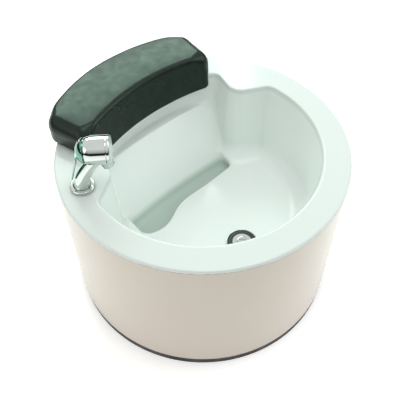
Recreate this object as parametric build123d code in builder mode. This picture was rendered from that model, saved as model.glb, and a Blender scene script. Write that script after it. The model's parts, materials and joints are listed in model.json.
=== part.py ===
from build123d import *
from math import cos, hypot, radians, sin, tan
import os

# A round, free-standing foot spa basin: an acrylic bowl in a drum-shaped casing,
# with a cushioned footrest over the back of the bowl and a mixer tap on the deck.
# Millimetres. The origin is on the floor at the centre of the drum, +Z is up and
# +Y points to the footrest.

os.makedirs("parts", exist_ok=True)

# ------------------------------------------------------------ driving dimensions
TUB_RADIUS = 300.0
DECK_HEIGHT = 370.0
SHELL_WALL = 5.0
LIP_DEPTH = 7.0
TONGUE_DEPTH = 25.0
DECK_UNDERSIDE = DECK_HEIGHT - SHELL_WALL

SKIRT_WALL = 4.0
PLINTH_HEIGHT = 20.0
PLINTH_RADIUS = 299.0
PLINTH_BORE = 262.0
PLATE_THICKNESS = 12.0
PLATE_TOP = PLINTH_HEIGHT + PLATE_THICKNESS
WASTE_HOLE = 45.0
HOSE_HOLE = 30.0

# bowl opening in the deck: a circle, two shoulders and a bay under the footrest
BOWL_RADIUS = 243.0
BOWL_DRAFT = 3.5
FLOOR_HEIGHT = 175.0
FLOOR_ROUND = 38.0
CIRCLE_END = 8.0
SHOULDER_TIP = (167.0, 76.0)
BAY_CORNER = (188.0, 147.0)
BAY_BACK = 200.0
BAY_BACK_RADIUS = 355.0
SHOULDER_ROUNDS = ((20.0, 240.6), (34.0, 167.0), (16.0, 188.0))

# bench behind the heels: a ledge, a slope and a trough at its foot
LEDGE_HEIGHT = 296.0
LEDGE_FRONT = 165.0
LEDGE_RISE = -18.0
SLOPE_FOOT = 84.0
BENCH_BEND = 1300.0
BENCH_HALF_ANGLE = 14.0
TROUGH_FLOOR = 148.0
TROUGH_HALF_WIDTH = 146.0
TROUGH_EDGE = ((-146.0, 32.0), (-95.0, 20.0), (-40.0, 41.0), (30.0, 46.0), (146.0, 48.0))

# frame inside the casing
FRAME_RADIUS = 272.0
LEG_SIZE = 25.0
LEG_WALL = 2.0
LEG_PLATE = 44.0
LEG_PLATE_DEPTH = 36.0
LEG_PLATE_THICKNESS = 4.0
RING_THICKNESS = 9.0
RING_BORE = 252.0
RING_RADIUS = 291.0
RING_BOTTOM = DECK_UNDERSIDE - RING_THICKNESS
BOARD_THICKNESS = 12.0
BOARD_TOP = FLOOR_HEIGHT - SHELL_WALL
BOARD_BOTTOM = BOARD_TOP - BOARD_THICKNESS
BOARD_RADIUS = 182.0
BOARD_BACK = 8.0
POST_PLACES = {
    "front_left": (-85.0, -115.0),
    "front_right": (85.0, -115.0),
    "rear_left": (-100.0, -20.0),
    "rear_right": (100.0, -20.0),
}
POST_RADIUS = 15.0
POST_FLANGE = 23.0

# footrest, drawn square to its own middle line and turned a little about the drum's axis
FOOTREST_TURN = 3.0
PAD_TOP = 430.0
PAD_BASE = 373.0
PAD_BOTTOM = 342.0
PAD_APEX = 304.0
PAD_OUTER_RADIUS = 366.0
PAD_OUTER_HALF = 202.0
PAD_INNER_HALF = 183.0
PAD_CORNER_ROUND = 18.0
PAD_EDGE_ROUND = 12.0
BOTTOM_FRONT = (169.5, 134.0)
TOP_FRONT = (184.0, 141.0)
BAY_GAP = 2.8
PEG_SPOTS = {"left": (-115.0, 235.0), "right": (115.0, 235.0)}
PEG_PLACES = {
    side: (
        x * cos(radians(FOOTREST_TURN)) - y * sin(radians(FOOTREST_TURN)),
        x * sin(radians(FOOTREST_TURN)) + y * cos(radians(FOOTREST_TURN)),
    )
    for side, (x, y) in PEG_SPOTS.items()
}
PEG_RADIUS = 6.0
PEG_PLAY = 0.15
SOCKET_RADIUS = 9.0
SOCKET_FLANGE = 13.0
SOCKET_TOP = DECK_HEIGHT + 1.5
PLATE_INNER = 212.0
PLATE_OUTER = 282.0

# mixer tap: local X runs along the drum from the lever to the bowl
TAP_PLACE = (-240.0, 82.0)
TAP_TURN = -40.0
TAP_HOLE = 17.0
SHANK_RADIUS = 15.0
DRUM_AXIS = 98.0
DRUM_RADIUS = 27.0
DRUM_START = 30.0
DRUM_END = 58.0
CAP_END = 66.0
DOME_RADIUS = 25.5
HUB_INNER = 26.1
HUB_OUTER = 28.5
HUB_ANGLE = 62.0
CARTRIDGE_RADIUS = 18.7
TURRET_RADIUS = 9.0
STEM_RADIUS = 4.0
STEM_SLOT = 8.6
PIN_RADIUS = 1.5
PADDLE_STATIONS = (
    (2.4, 8.0, 34.0, 5.0),
    (-1.5, 26.0, 30.0, 4.6),
    (-7.0, 44.0, 24.0, 4.2),
    (-11.5, 60.0, 17.0, 3.8),
    (-15.0, 72.0, 10.0, 3.2),
)
OUTLET_TILT = 20.0
OUTLET_ROOT = 43.0
OUTLET_RADIUS = 12.2
NECK_STATIONS = (
    (0.0, 2.0, 0.0, 17.0),
    (2.5, 18.0, 14.0, 15.0),
    (10.0, 38.0, 26.0, 13.5),
    (20.5, 56.0, 36.0, 12.6),
    (35.0, 74.0, 42.0, 12.4),
)

# waste
DRAIN_PLACE = (-8.0, -132.0)
DRAIN_HOLE = 26.5
DRAIN_TUBE = 25.5
DRAIN_BORE = 22.0
TAILPIECE_RADIUS = 20.0
TAILPIECE_BOTTOM = 45.0
STOPPER_BASE = FLOOR_HEIGHT + 3.5
STOPPER_RADIUS = 32.0
STOPPER_WELL = 21.0
KNOB_TOP = STOPPER_BASE + 7.5
SLOT_TURN = -43.0

# tails and unions of the tap's hot and cold inlets
INLET_AZIMUTH = radians(161.136)
INLET_REACH = 231.0
INLET_ASIDE = 15.0
TAIL_RADIUS = 4.0
UNION_RADIUS = 8.33


def write(builder, name):
    """Label a finished piece and write it to its own file."""
    builder.part.label = name
    export_step(builder.part, f"parts/{name}.step")


def ring(outer, inner, bottom, top, place=(0.0, 0.0)):
    """A plain round ring between two heights."""
    with BuildPart() as piece:
        with BuildSketch(Plane.XY.offset(bottom)):
            with Locations(place):
                Circle(outer)
                Circle(inner, mode=Mode.SUBTRACT)
        extrude(amount=top - bottom)
    return piece.part


# ------------------------------------------------------------------ basin shell
def opening_plan(grow):
    """Outline of the bowl's opening, moved outward by grow."""
    circle_end = (
        BOWL_RADIUS * cos(radians(CIRCLE_END)),
        BOWL_RADIUS * sin(radians(CIRCLE_END)),
    )
    quarter = (BOWL_RADIUS * cos(radians(-45)), BOWL_RADIUS * sin(radians(-45)))
    with BuildSketch() as plan:
        with BuildLine():
            ThreePointArc((0, -BOWL_RADIUS), quarter, circle_end)
            Polyline(circle_end, SHOULDER_TIP, BAY_CORNER)
            RadiusArc(BAY_CORNER, (0, BAY_BACK), -BAY_BACK_RADIUS)
            mirror(about=Plane.YZ)
        make_face()
        for radius, reach in SHOULDER_ROUNDS:
            corners = [v for v in plan.vertices() if abs(abs(v.X) - reach) < 1 and v.Y > 0]
            fillet(corners, radius)
        if grow:
            offset(amount=grow)
    return plan.sketch


def bench(grow):
    """The mass behind the bay: a ledge and a slope, bent gently round a far axis."""
    half = radians(BENCH_HALF_ANGLE)
    section = Plane(
        origin=(0, -BENCH_BEND, 0),
        x_dir=(sin(half), cos(half), 0),
        z_dir=(cos(half), -sin(half), 0),
    )
    lean = (LEDGE_FRONT - SLOPE_FOOT) / (LEDGE_HEIGHT - TROUGH_FLOOR)
    setback = grow * hypot(1.0, lean)
    below = 40.0
    foot = (BENCH_BEND + SLOPE_FOOT + setback - lean * below, TROUGH_FLOOR - below)
    crest = (BENCH_BEND + LEDGE_FRONT + setback - lean * grow, LEDGE_HEIGHT - grow)
    back = BENCH_BEND + BAY_BACK + 30.0
    with BuildPart() as mass:
        with BuildSketch(section):
            with BuildLine():
                Polyline(
                    foot,
                    crest,
                    (back, LEDGE_HEIGHT + LEDGE_RISE - grow),
                    (back, TROUGH_FLOOR - below),
                    close=True,
                )
            make_face()
        revolve(
            axis=Axis((0, -BENCH_BEND, 0), (0, 0, 1)),
            revolution_arc=2 * BENCH_HALF_ANGLE,
        )
    return mass.part


def trough(grow):
    """The channel at the foot of the slope, with its wavy near edge."""
    with BuildPart() as channel:
        with BuildSketch(Plane.XY.offset(TROUGH_FLOOR - grow)):
            half = TROUGH_HALF_WIDTH + grow
            stretch = half / TROUGH_HALF_WIDTH
            with BuildLine():
                edge = Spline(*[(x * stretch, y - grow) for x, y in TROUGH_EDGE])
                Polyline(edge @ 1, (half, 100.0), (-half, 100.0), edge @ 0)
            make_face()
        extrude(amount=FLOOR_HEIGHT - TROUGH_FLOOR + 6.0)
    return channel.part


def bowl_form(grow):
    """The bowl's hollow, moved outward by grow for the outside of its wall."""
    with BuildPart() as form:
        with BuildSketch(Plane.XY.offset(DECK_HEIGHT)):
            add(opening_plan(grow))
        extrude(amount=-(DECK_HEIGHT - FLOOR_HEIGHT + grow), taper=BOWL_DRAFT)
        fillet(form.faces().sort_by(Axis.Z)[0].edges(), FLOOR_ROUND + grow)
        add(trough(grow))
        add(bench(grow), mode=Mode.SUBTRACT)
    return form.part


with BuildPart() as basin_shell:
    with BuildSketch(Plane.XY.offset(DECK_UNDERSIDE)):
        Circle(TUB_RADIUS)
    extrude(amount=SHELL_WALL)
    add(ring(TUB_RADIUS, TUB_RADIUS - 9.0, DECK_HEIGHT - LIP_DEPTH, DECK_UNDERSIDE))
    tongue_outer = TUB_RADIUS - SKIRT_WALL - 0.3
    tongue_bottom = DECK_HEIGHT - LIP_DEPTH - TONGUE_DEPTH
    add(ring(tongue_outer, tongue_outer - 3.5, tongue_bottom, DECK_UNDERSIDE))
    add(bowl_form(SHELL_WALL))
    add(bowl_form(0.0), mode=Mode.SUBTRACT)
    rims = basin_shell.faces().filter_by(Plane.XY).sort_by(Axis.Z)[-1].edges()
    fillet(rims, 3.0)
    with Locations((*TAP_PLACE, DECK_HEIGHT)):
        Hole(TAP_HOLE, SHELL_WALL * 2)
    with Locations(*[(x, y, DECK_HEIGHT) for x, y in PEG_PLACES.values()]):
        Hole(SOCKET_RADIUS, SHELL_WALL * 2)
    with Locations((*DRAIN_PLACE, FLOOR_HEIGHT)):
        Hole(DRAIN_HOLE, SHELL_WALL * 2)
write(basin_shell, "basin_shell")

# ------------------------------------------------------------- casing and plinth
with BuildPart() as outer_skirt:
    add(ring(TUB_RADIUS, TUB_RADIUS - SKIRT_WALL, PLINTH_HEIGHT, DECK_HEIGHT - LIP_DEPTH))
    outer_edges = outer_skirt.edges().filter_by(GeomType.CIRCLE).group_by(SortBy.RADIUS)[-1]
    chamfer(outer_edges, 0.6)
write(outer_skirt, "outer_skirt")

with BuildPart() as base_ring:
    add(ring(PLINTH_RADIUS, PLINTH_BORE, 0.0, PLINTH_HEIGHT))
    outer_edges = base_ring.edges().filter_by(GeomType.CIRCLE).group_by(SortBy.RADIUS)[-1]
    chamfer(outer_edges, 1.0)
write(base_ring, "base_ring")

with BuildPart() as base_plate:
    with BuildSketch(Plane.XY.offset(PLINTH_HEIGHT)):
        Circle(TUB_RADIUS - SKIRT_WALL - 2.0)
        with Locations(DRAIN_PLACE):
            Circle(WASTE_HOLE, mode=Mode.SUBTRACT)
        with Locations((INLET_REACH * cos(INLET_AZIMUTH), INLET_REACH * sin(INLET_AZIMUTH))):
            Circle(HOSE_HOLE, mode=Mode.SUBTRACT)
    extrude(amount=PLATE_THICKNESS)
write(base_plate, "base_plate")

# ------------------------------------------------------------------------- frame
with BuildPart() as deck_ring:
    with BuildSketch(Plane.XY.offset(RING_BOTTOM)):
        Circle(RING_RADIUS)
        Circle(RING_BORE, mode=Mode.SUBTRACT)
        with Locations(TAP_PLACE):
            Circle(30.0, mode=Mode.SUBTRACT)
        with Locations(*PEG_PLACES.values()):
            Circle(SOCKET_RADIUS, mode=Mode.SUBTRACT)
    extrude(amount=RING_THICKNESS)
write(deck_ring, "deck_ring")

with BuildPart() as floor_board:
    with BuildSketch(Plane.XY.offset(BOARD_BOTTOM)):
        Circle(BOARD_RADIUS)
        with Locations((0, BOARD_BACK)):
            Rectangle(2 * BOARD_RADIUS, BOARD_RADIUS, align=(Align.CENTER, Align.MIN), mode=Mode.SUBTRACT)
        with Locations(DRAIN_PLACE):
            Circle(36.0, mode=Mode.SUBTRACT)
    extrude(amount=BOARD_THICKNESS)
write(floor_board, "floor_board")

LEG_ANGLES = {"front_left": 225.0, "front_right": 315.0, "rear_right": 45.0, "rear_left": 135.0}
SCREW_OFFSET = LEG_PLATE / 2 - 4.5
for corner, angle in LEG_ANGLES.items():
    with BuildPart() as frame_leg:
        with PolarLocations(FRAME_RADIUS, 1, start_angle=angle):
            with Locations((0, 0, PLATE_TOP)):
                Box(LEG_PLATE_DEPTH, LEG_PLATE, LEG_PLATE_THICKNESS,
                    align=(Align.CENTER, Align.CENTER, Align.MIN))
            with Locations((0, 0, RING_BOTTOM)):
                Box(LEG_PLATE_DEPTH, LEG_PLATE, LEG_PLATE_THICKNESS,
                    align=(Align.CENTER, Align.CENTER, Align.MAX))
            with Locations((0, 0, PLATE_TOP)):
                Box(LEG_SIZE, LEG_SIZE, RING_BOTTOM - PLATE_TOP,
                    align=(Align.CENTER, Align.CENTER, Align.MIN))
                bore = LEG_SIZE - 2 * LEG_WALL
                Box(bore, bore, RING_BOTTOM - PLATE_TOP,
                    align=(Align.CENTER, Align.CENTER, Align.MIN), mode=Mode.SUBTRACT)
    write(frame_leg, f"frame_leg_{corner}")

for corner, place in POST_PLACES.items():
    with BuildPart() as cradle_post:
        with Locations((*place, PLATE_TOP)):
            Cylinder(POST_FLANGE, 4.0, align=(Align.CENTER, Align.CENTER, Align.MIN))
            Cylinder(POST_RADIUS, BOARD_BOTTOM - PLATE_TOP, align=(Align.CENTER, Align.CENTER, Align.MIN))
        with Locations((*place, BOARD_BOTTOM)):
            Cylinder(POST_FLANGE, 4.0, align=(Align.CENTER, Align.CENTER, Align.MAX))
        with Locations((*place, PLATE_TOP)):
            Cylinder(POST_RADIUS - 2.0, BOARD_BOTTOM - PLATE_TOP,
                     align=(Align.CENTER, Align.CENTER, Align.MIN), mode=Mode.SUBTRACT)
    write(cradle_post, f"cradle_post_{corner}")


def pan_screw(base, up):
    """A pan-head wood screw whose head sits on the plane z = base; up is -1 for heads below."""
    with BuildPart() as screw:
        with BuildSketch(Plane.XZ):
            with BuildLine():
                Polyline((0, base), (3.6, base), (3.6, base + up * 1.2), (2.4, base + up * 2.6),
                         (0, base + up * 2.6), close=True)
            make_face()
        revolve(axis=Axis.Z)
    return screw.part


with BuildPart() as leg_screws:
    for angle in LEG_ANGLES.values():
        with PolarLocations(FRAME_RADIUS, 1, start_angle=angle):
            with Locations((0, -SCREW_OFFSET), (0, SCREW_OFFSET)):
                add(pan_screw(PLATE_TOP + LEG_PLATE_THICKNESS, 1))
                add(pan_screw(RING_BOTTOM - LEG_PLATE_THICKNESS, -1))
write(leg_screws, "leg_screws")

with BuildPart() as post_screws:
    for place in POST_PLACES.values():
        with Locations(place):
            with PolarLocations(POST_FLANGE - 4.2, 2, start_angle=90):
                add(pan_screw(PLATE_TOP + 4.0, 1))
                add(pan_screw(BOARD_BOTTOM - 4.0, -1))
write(post_screws, "post_screws")


# ---------------------------------------------------------------------- footrest
def footrest_level(height):
    """A level plane whose X runs along the footrest."""
    turn = radians(FOOTREST_TURN)
    return Plane(origin=(0, 0, height), x_dir=(cos(turn), sin(turn), 0), z_dir=(0, 0, 1))


def pad_plan(front):
    """Plan of the pad at one height: an outer arc, two ends and a hollow front arc."""
    apex, corner = front
    centre = PAD_APEX - PAD_OUTER_RADIUS
    outer_y = centre + (PAD_OUTER_RADIUS**2 - PAD_OUTER_HALF**2) ** 0.5
    with BuildSketch() as plan:
        with BuildLine():
            ThreePointArc((PAD_OUTER_HALF, outer_y), (0, PAD_APEX), (-PAD_OUTER_HALF, outer_y))
            Line((-PAD_OUTER_HALF, outer_y), (-PAD_INNER_HALF, corner))
            ThreePointArc((-PAD_INNER_HALF, corner), (0, apex), (PAD_INNER_HALF, corner))
            Line((PAD_INNER_HALF, corner), (PAD_OUTER_HALF, outer_y))
        make_face()
        fillet(plan.vertices(), PAD_CORNER_ROUND)
    return plan.sketch


def plate_plan():
    """Plan of the board let into the foot of the pad."""
    with BuildSketch() as plan:
        Circle(PLATE_OUTER)
        Circle(PLATE_INNER, mode=Mode.SUBTRACT)
        with Locations((0, PLATE_OUTER)):
            Rectangle(300.0, 200.0, mode=Mode.INTERSECT)
    return plan.sketch


PLATE_BOTTOM = PAD_BASE
PLATE_UP = 9.0
with BuildPart() as outside_bay:
    with BuildSketch(Plane.XY.offset(PAD_BOTTOM - 1.0)):
        Rectangle(700.0, 700.0)
        add(opening_plan(-BAY_GAP), mode=Mode.SUBTRACT)
    extrude(amount=PAD_BASE - PAD_BOTTOM + 1.0)

with BuildPart() as footrest_pad:
    with BuildSketch(footrest_level(PAD_BOTTOM)):
        add(pad_plan(BOTTOM_FRONT))
    with BuildSketch(footrest_level(PAD_TOP)):
        add(pad_plan(TOP_FRONT))
    loft(ruled=True)
    fillet(footrest_pad.faces().sort_by(Axis.Z)[-1].edges(), PAD_EDGE_ROUND)
    add(outside_bay.part, mode=Mode.SUBTRACT)
    with BuildSketch(footrest_level(PAD_BASE)):
        add(plate_plan())
        offset(amount=0.3)
    extrude(amount=PLATE_UP + 0.3, mode=Mode.SUBTRACT)
write(footrest_pad, "footrest_pad")

with BuildPart() as footrest_plate:
    with BuildSketch(footrest_level(PLATE_BOTTOM)):
        add(plate_plan())
        with Locations(*PEG_SPOTS.values()):
            Circle(4.0, mode=Mode.SUBTRACT)
    extrude(amount=PLATE_UP)
write(footrest_plate, "footrest_plate")

for side, place in PEG_PLACES.items():
    with BuildPart() as footrest_peg:
        with Locations((*place, PLATE_BOTTOM)):
            Cylinder(4.0, PLATE_UP, align=(Align.CENTER, Align.CENTER, Align.MIN))
            Cylinder(10.0, PLATE_BOTTOM - SOCKET_TOP, align=(Align.CENTER, Align.CENTER, Align.MAX))
            Cylinder(PEG_RADIUS, PLATE_BOTTOM - 344.0, align=(Align.CENTER, Align.CENTER, Align.MAX))
        chamfer(footrest_peg.faces().sort_by(Axis.Z)[0].edges(), 2.0)
    write(footrest_peg, f"footrest_peg_{side}")

    with BuildPart() as peg_socket:
        add(ring(SOCKET_RADIUS, PEG_RADIUS + PEG_PLAY, RING_BOTTOM - 3.0, DECK_HEIGHT, place))
        add(ring(SOCKET_FLANGE, PEG_RADIUS + PEG_PLAY, DECK_HEIGHT, SOCKET_TOP, place))
    write(peg_socket, f"peg_socket_{side}")

# --------------------------------------------------------------------- mixer tap
TAP = Plane(
    origin=(*TAP_PLACE, DECK_HEIGHT),
    x_dir=(cos(radians(TAP_TURN)), sin(radians(TAP_TURN)), 0),
    z_dir=(0, 0, 1),
)


def tap_point(along, height):
    """A point in the tap's upright middle plane."""
    return TAP.from_local_coords(Vector(along, 0, height))


def drum_plane(along):
    """The plane square to the drum's axis, at a distance from the tap's foot."""
    return Plane(origin=tap_point(along, DRUM_AXIS), x_dir=TAP.y_dir, z_dir=TAP.x_dir)


def drum_disc(outer, start, end, inner=0.0):
    """A disc or ring on the drum's axis."""
    with BuildPart() as disc:
        with BuildSketch(drum_plane(start)):
            Circle(outer)
            if inner:
                Circle(inner, mode=Mode.SUBTRACT)
        extrude(amount=end - start)
    return disc.part


def neck(inset):
    """The leaning, tapering neck, or its hollow when inset."""
    with BuildPart() as stem:
        for along, height, lean, radius in NECK_STATIONS:
            heading = TAP.x_dir * sin(radians(lean)) + TAP.z_dir * cos(radians(lean))
            with BuildSketch(Plane(origin=tap_point(along, height), x_dir=TAP.y_dir, z_dir=heading)):
                Circle(radius - inset)
        loft()
    return stem.part


OUTLET_DIR = TAP.x_dir * sin(radians(OUTLET_TILT)) - TAP.z_dir * cos(radians(OUTLET_TILT))


def outlet_tube(outer, start, end, inner=0.0):
    """A disc or ring on the outlet's axis, measured from the drum's axis."""
    root = tap_point(OUTLET_ROOT, DRUM_AXIS) + OUTLET_DIR * start
    with BuildPart() as tube:
        with BuildSketch(Plane(origin=root, x_dir=TAP.y_dir, z_dir=OUTLET_DIR)):
            Circle(outer)
            if inner:
                Circle(inner, mode=Mode.SUBTRACT)
        extrude(amount=end - start)
    return tube.part


with BuildPart() as tap_gasket:
    add(ring(22.5, SHANK_RADIUS + 0.3, DECK_HEIGHT, DECK_HEIGHT + 2.0, TAP_PLACE))
write(tap_gasket, "tap_gasket")

with BuildPart() as tap_flange:
    add(ring(24.0, NECK_STATIONS[0][3] + 0.2, DECK_HEIGHT + 2.0, DECK_HEIGHT + 7.0, TAP_PLACE))
    top_rim = tap_flange.edges().filter_by(GeomType.CIRCLE).group_by(Axis.Z)[-1]
    fillet(top_rim.sort_by(SortBy.RADIUS)[-1], 3.0)
write(tap_flange, "tap_flange")

with BuildPart() as tap_body:
    add(neck(0.0))
    add(drum_disc(DRUM_RADIUS, DRUM_START, DRUM_END))
    add(outlet_tube(OUTLET_RADIUS, 15.0, 36.0))
    add(drum_disc(DRUM_RADIUS + 0.5, DRUM_END, CAP_END), mode=Mode.SUBTRACT)
    add(drum_disc(HUB_OUTER + 0.8, DRUM_START - 30.0, DRUM_START), mode=Mode.SUBTRACT)
    add(neck(4.0), mode=Mode.SUBTRACT)
    add(drum_disc(CARTRIDGE_RADIUS + 0.3, DRUM_START, DRUM_END - 6.0), mode=Mode.SUBTRACT)
    add(drum_disc(22.0, DRUM_END - 6.0, DRUM_END), mode=Mode.SUBTRACT)
    add(outlet_tube(9.9, 15.0, 36.0), mode=Mode.SUBTRACT)
write(tap_body, "tap_body")

with BuildPart() as drum_end_cap:
    add(drum_disc(21.9, DRUM_END - 6.0, DRUM_END + 1.2))
    add(drum_disc(DRUM_RADIUS, DRUM_END + 1.2, CAP_END))
    end_rim = drum_end_cap.edges().filter_by(GeomType.CIRCLE).sort_by(Axis(TAP.origin, TAP.x_dir))[-1]
    fillet(end_rim, 3.0)
write(drum_end_cap, "drum_end_cap")

with BuildPart() as aerator:
    add(outlet_tube(9.8, 33.0, 36.0, 7.5))
    add(outlet_tube(OUTLET_RADIUS - 0.4, 36.0, 42.0, 7.5))
    add(outlet_tube(7.5, 38.0, 40.0))
write(aerator, "aerator")


def ball(radius):
    """A ball about the lever's pivot."""
    with BuildPart() as whole:
        with Locations(tap_point(DRUM_START, DRUM_AXIS)):
            Sphere(radius)
    return whole.part


def half_round(radius, polar):
    """Half of a ball's outline about the drum's axis, from the pole to a polar angle."""
    mid = radians(polar / 2)
    end = radians(polar)
    return ThreePointArc(
        (-radius, 0),
        (-radius * cos(mid), radius * sin(mid)),
        (-radius * cos(end), radius * sin(end)),
    )


PIVOT = tap_point(DRUM_START, DRUM_AXIS)
BALL_SECTION = Plane(origin=PIVOT, x_dir=TAP.x_dir, z_dir=-TAP.y_dir)
DRUM_LINE = Axis(PIVOT, TAP.x_dir)

with BuildPart() as cartridge_dome:
    with BuildSketch(BALL_SECTION):
        with BuildLine():
            arc = half_round(DOME_RADIUS, 90.0)
            Polyline(arc @ 1, (0, 0), arc @ 0)
        make_face()
    revolve(axis=DRUM_LINE)
    add(drum_disc(14.0, DRUM_START - 30.0, DRUM_START - 16.0), mode=Mode.SUBTRACT)
    add(drum_disc(CARTRIDGE_RADIUS + 0.3, DRUM_START - 16.0, DRUM_START), mode=Mode.SUBTRACT)
write(cartridge_dome, "cartridge_dome")

with BuildPart() as cartridge:
    add(drum_disc(CARTRIDGE_RADIUS, DRUM_START - 6.0, DRUM_START + 20.0))
    add(drum_disc(12.0, DRUM_START - 10.0, DRUM_START - 6.0))
    add(drum_disc(TURRET_RADIUS + 0.1, DRUM_START - 10.0, DRUM_START + 4.5), mode=Mode.SUBTRACT)
write(cartridge, "cartridge")

with BuildPart() as cartridge_nut:
    add(drum_disc(CARTRIDGE_RADIUS, DRUM_START - 12.0, DRUM_START - 6.2, 12.4))
write(cartridge_nut, "cartridge_nut")

with BuildPart() as stem_turret:
    add(drum_disc(TURRET_RADIUS, DRUM_START - 4.0, DRUM_START + 4.0))
    with BuildSketch(drum_plane(DRUM_START - 4.0)):
        Rectangle(STEM_SLOT, 2 * TURRET_RADIUS - 3.0)
    extrude(amount=8.0, mode=Mode.SUBTRACT)
    with BuildSketch(Plane(origin=PIVOT, x_dir=TAP.x_dir, z_dir=TAP.y_dir)):
        Circle(PIN_RADIUS)
    extrude(amount=TURRET_RADIUS, both=True, mode=Mode.SUBTRACT)
write(stem_turret, "stem_turret")

with BuildPart() as stem_pin:
    with BuildSketch(Plane(origin=PIVOT, x_dir=TAP.x_dir, z_dir=TAP.y_dir)):
        Circle(PIN_RADIUS)
    extrude(amount=TURRET_RADIUS - 0.6, both=True)
write(stem_pin, "stem_pin")


def lever_paddle():
    """The flat handle that hangs from the lever's hub."""
    with BuildPart() as paddle:
        for along, drop, width, thick in PADDLE_STATIONS:
            level = tap_point(along, DRUM_AXIS - drop)
            with BuildSketch(Plane(origin=level, x_dir=TAP.y_dir, z_dir=-TAP.z_dir)):
                Ellipse(width / 2, thick / 2)
        loft()
        add(ball(HUB_INNER + 0.6), mode=Mode.SUBTRACT)
    return paddle.part


with BuildPart() as tap_lever:
    with BuildSketch(BALL_SECTION):
        with BuildLine():
            outside = half_round(HUB_OUTER, HUB_ANGLE)
            inside = half_round(HUB_INNER, HUB_ANGLE)
            Line(outside @ 1, inside @ 1)
            Line(outside @ 0, inside @ 0)
        make_face()
    revolve(axis=DRUM_LINE)
    add(drum_disc(6.5, DRUM_START - HUB_INNER - 1.0, DRUM_START - 15.0))
    add(drum_disc(STEM_RADIUS, DRUM_START - 15.0, DRUM_START + 3.0))
    with BuildSketch(Plane(origin=PIVOT, x_dir=TAP.x_dir, z_dir=TAP.y_dir)):
        Circle(PIN_RADIUS + 0.05)
    extrude(amount=STEM_RADIUS + 1.0, both=True, mode=Mode.SUBTRACT)
    add(lever_paddle())
write(tap_lever, "tap_lever")

with BuildPart() as index_plug:
    plug_dir = TAP.z_dir * sin(radians(50)) - TAP.x_dir * cos(radians(50))
    seat = PIVOT + plug_dir * (HUB_OUTER + 0.02)
    with BuildSketch(Plane(origin=seat, x_dir=TAP.y_dir, z_dir=plug_dir)):
        Circle(3.4)
    extrude(amount=2.2)
    fillet(index_plug.faces().sort_by(Axis(seat, plug_dir))[-1].edges(), 1.2)
write(index_plug, "index_plug")

with BuildPart() as tap_shank:
    add(ring(SHANK_RADIUS, 12.0, 325.0, DECK_HEIGHT + 2.0, TAP_PLACE))
write(tap_shank, "tap_shank")

with BuildPart() as tap_seal_washer:
    add(ring(24.0, SHANK_RADIUS + 0.2, DECK_UNDERSIDE - 4.0, DECK_UNDERSIDE, TAP_PLACE))
write(tap_seal_washer, "tap_seal_washer")

with BuildPart() as tap_clamp_washer:
    add(ring(24.0, SHANK_RADIUS + 0.2, DECK_UNDERSIDE - 6.5, DECK_UNDERSIDE - 4.0, TAP_PLACE))
write(tap_clamp_washer, "tap_clamp_washer")

with BuildPart() as tap_lock_nut:
    with BuildSketch(Plane.XY.offset(DECK_UNDERSIDE - 16.5)):
        with Locations(TAP_PLACE):
            RegularPolygon(25.0, 6)
            Circle(SHANK_RADIUS + 0.05, mode=Mode.SUBTRACT)
    extrude(amount=10.0)
write(tap_lock_nut, "tap_lock_nut")

INWARD = Vector(-cos(INLET_AZIMUTH), -sin(INLET_AZIMUTH), 0)
SIDEWAYS = Vector(-sin(INLET_AZIMUTH), cos(INLET_AZIMUTH), 0)
INLET_SHIFT = hypot(*TAP_PLACE) - INLET_REACH
for name, hand in (("hot", 1), ("cold", -1)):
    def tail_point(aside, inward, height):
        """A point of one inlet tail, measured from the shank's axis."""
        return Vector(*TAP_PLACE, height) + SIDEWAYS * (hand * aside) + INWARD * inward

    with BuildPart() as inlet_tail:
        with BuildLine() as route:
            FilletPolyline(tail_point(5.2, 0, 384), tail_point(5.2, 0, 320),
                           tail_point(INLET_ASIDE, INLET_SHIFT, 280),
                           tail_point(INLET_ASIDE, INLET_SHIFT, 244),
                           radius=22)
        with BuildSketch(Plane(origin=route.line @ 0, z_dir=route.line % 0)):
            Circle(TAIL_RADIUS)
            Circle(TAIL_RADIUS - 1.0, mode=Mode.SUBTRACT)
        sweep()
    write(inlet_tail, f"{name}_inlet_tail")

    foot = tail_point(INLET_ASIDE, INLET_SHIFT, 0)
    with BuildPart() as inlet_union:
        with BuildSketch(Plane.XY.offset(230.0)):
            with Locations((foot.X, foot.Y)):
                RegularPolygon(10.0, 6)
        extrude(amount=14.0)
        with BuildSketch(Plane.XY.offset(218.0)):
            with Locations((foot.X, foot.Y)):
                Circle(UNION_RADIUS)
        extrude(amount=12.0)
        with Locations((foot.X, foot.Y, 218.0)):
            Cylinder(3.0, 26.0, align=(Align.CENTER, Align.CENTER, Align.MIN), mode=Mode.SUBTRACT)
    write(inlet_union, f"{name}_inlet_union")

# ------------------------------------------------------------------------- waste
with BuildPart() as drain_gasket:
    add(ring(33.5, DRAIN_HOLE, FLOOR_HEIGHT, FLOOR_HEIGHT + 1.0, DRAIN_PLACE))
write(drain_gasket, "drain_gasket")

with BuildPart() as drain_flange:
    add(ring(35.0, DRAIN_BORE, FLOOR_HEIGHT + 1.0, FLOOR_HEIGHT + 3.5, DRAIN_PLACE))
    add(ring(DRAIN_TUBE, DRAIN_BORE, 138.0, FLOOR_HEIGHT + 1.0, DRAIN_PLACE))
    with BuildSketch(Plane.XY.offset(146.0)):
        with Locations(DRAIN_PLACE):
            Rectangle(2 * DRAIN_BORE + 2.0, 3.0)
            Rectangle(3.0, 2 * DRAIN_BORE + 2.0)
    extrude(amount=4.0)
    lip = drain_flange.edges().filter_by(GeomType.CIRCLE).group_by(Axis.Z)[-1].sort_by(SortBy.RADIUS)[-1]
    fillet(lip, 1.6)
write(drain_flange, "drain_flange")

with BuildPart() as drain_under_washer:
    add(ring(33.0, DRAIN_TUBE + 0.2, BOARD_TOP - 4.0, BOARD_TOP, DRAIN_PLACE))
write(drain_under_washer, "drain_under_washer")

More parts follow.
